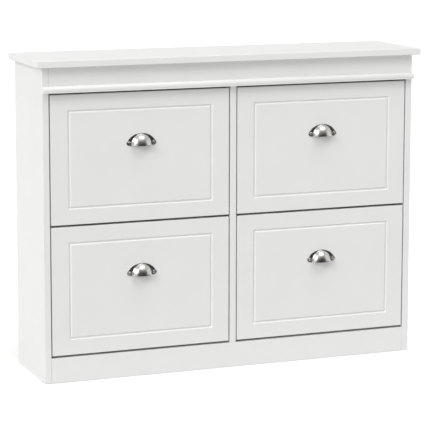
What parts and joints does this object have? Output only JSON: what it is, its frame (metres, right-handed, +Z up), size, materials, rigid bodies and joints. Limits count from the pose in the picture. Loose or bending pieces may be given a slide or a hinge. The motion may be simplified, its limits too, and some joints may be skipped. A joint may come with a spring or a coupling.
{
  "type": "shoe cabinet",
  "caption": "Low white storage cabinet with tip-out shoe flaps, cup pulls, an overhanging top and a moulded frieze.",
  "frame": {"origin": "on the floor, under the middle of the cabinet's overall width and depth", "axes": "+Z up, -Y out of the front, +X to the right of someone facing the front"},
  "size_m": [1.136, 0.2854, 0.885],
  "materials": {
    "white_lacquer": "smooth satin white lacquer on fibreboard",
    "white_board": "white melamine-faced board",
    "hardboard": "thin hardboard, white on the inner face",
    "satin_nickel": "satin nickel plate",
    "pin_steel": "bright turned steel",
    "zinc_steel": "zinc-plated pressed steel",
    "glide_plastic": "dark moulded plastic"
  },
  "bodies": {
    "carcass": {"left_side_panel": "white_lacquer", "right_side_panel": "white_lacquer", "centre_divider": "white_lacquer", "top_board": "white_lacquer", "frieze_board": "white_lacquer", "cornice_moulding": "white_lacquer", "plinth_board": "white_lacquer", "bottom_board_left": "white_board", "middle_rail_left": "white_board", "top_rail_left": "white_board", "back_panel_left": "hardboard", "wall_bracket_left": "zinc_steel", "bottom_board_right": "white_board", "middle_rail_right": "white_board", "top_rail_right": "white_board", "back_panel_right": "hardboard", "wall_bracket_right": "zinc_steel", "floor_glide_left_front": "glide_plastic", "floor_glide_left_rear": "glide_plastic", "floor_glide_centre_front": "glide_plastic", "floor_glide_centre_rear": "glide_plastic", "floor_glide_right_front": "glide_plastic", "floor_glide_right_rear": "glide_plastic", "pivot_pin_lower_left_outer": "pin_steel", "pivot_pin_lower_left_inner": "pin_steel", "pivot_pin_lower_right_outer": "pin_steel", "pivot_pin_lower_right_inner": "pin_steel", "pivot_pin_upper_left_outer": "pin_steel", "pivot_pin_upper_left_inner": "pin_steel", "pivot_pin_upper_right_outer": "pin_steel", "pivot_pin_upper_right_inner": "pin_steel"},
    "flap_lower_left": {"flap_front_lower_left": "white_lacquer", "cup_pull_lower_left": "satin_nickel", "tray_cheek_lower_left_left": "white_board", "tray_cheek_lower_left_right": "white_board", "tray_floor_lower_left": "white_board", "tray_divider_lower_left": "white_board", "tray_back_lower_left": "white_board"},
    "flap_lower_right": {"flap_front_lower_right": "white_lacquer", "cup_pull_lower_right": "satin_nickel", "tray_cheek_lower_right_left": "white_board", "tray_cheek_lower_right_right": "white_board", "tray_floor_lower_right": "white_board", "tray_divider_lower_right": "white_board", "tray_back_lower_right": "white_board"},
    "flap_upper_left": {"flap_front_upper_left": "white_lacquer", "cup_pull_upper_left": "satin_nickel", "tray_cheek_upper_left_left": "white_board", "tray_cheek_upper_left_right": "white_board", "tray_floor_upper_left": "white_board", "tray_divider_upper_left": "white_board", "tray_back_upper_left": "white_board"},
    "flap_upper_right": {"flap_front_upper_right": "white_lacquer", "cup_pull_upper_right": "satin_nickel", "tray_cheek_upper_right_left": "white_board", "tray_cheek_upper_right_right": "white_board", "tray_floor_upper_right": "white_board", "tray_divider_upper_right": "white_board", "tray_back_upper_right": "white_board"}
  },
  "joints": [
    {"name": "flap_lower_left_tip", "type": "hinge", "parent": "carcass", "child": "flap_lower_left", "pos_m": [-0.2705, -0.11175, 0.089], "axis": [1, 0, 0], "range_deg": [0, 41]},
    {"name": "flap_lower_right_tip", "type": "hinge", "parent": "carcass", "child": "flap_lower_right", "pos_m": [0.2705, -0.11175, 0.089], "axis": [1, 0, 0], "range_deg": [0, 41]},
    {"name": "flap_upper_left_tip", "type": "hinge", "parent": "carcass", "child": "flap_upper_left", "pos_m": [-0.2705, -0.11175, 0.4495], "axis": [1, 0, 0], "range_deg": [0, 41]},
    {"name": "flap_upper_right_tip", "type": "hinge", "parent": "carcass", "child": "flap_upper_right", "pos_m": [0.2705, -0.11175, 0.4495], "axis": [1, 0, 0], "range_deg": [0, 41]}
  ]
}
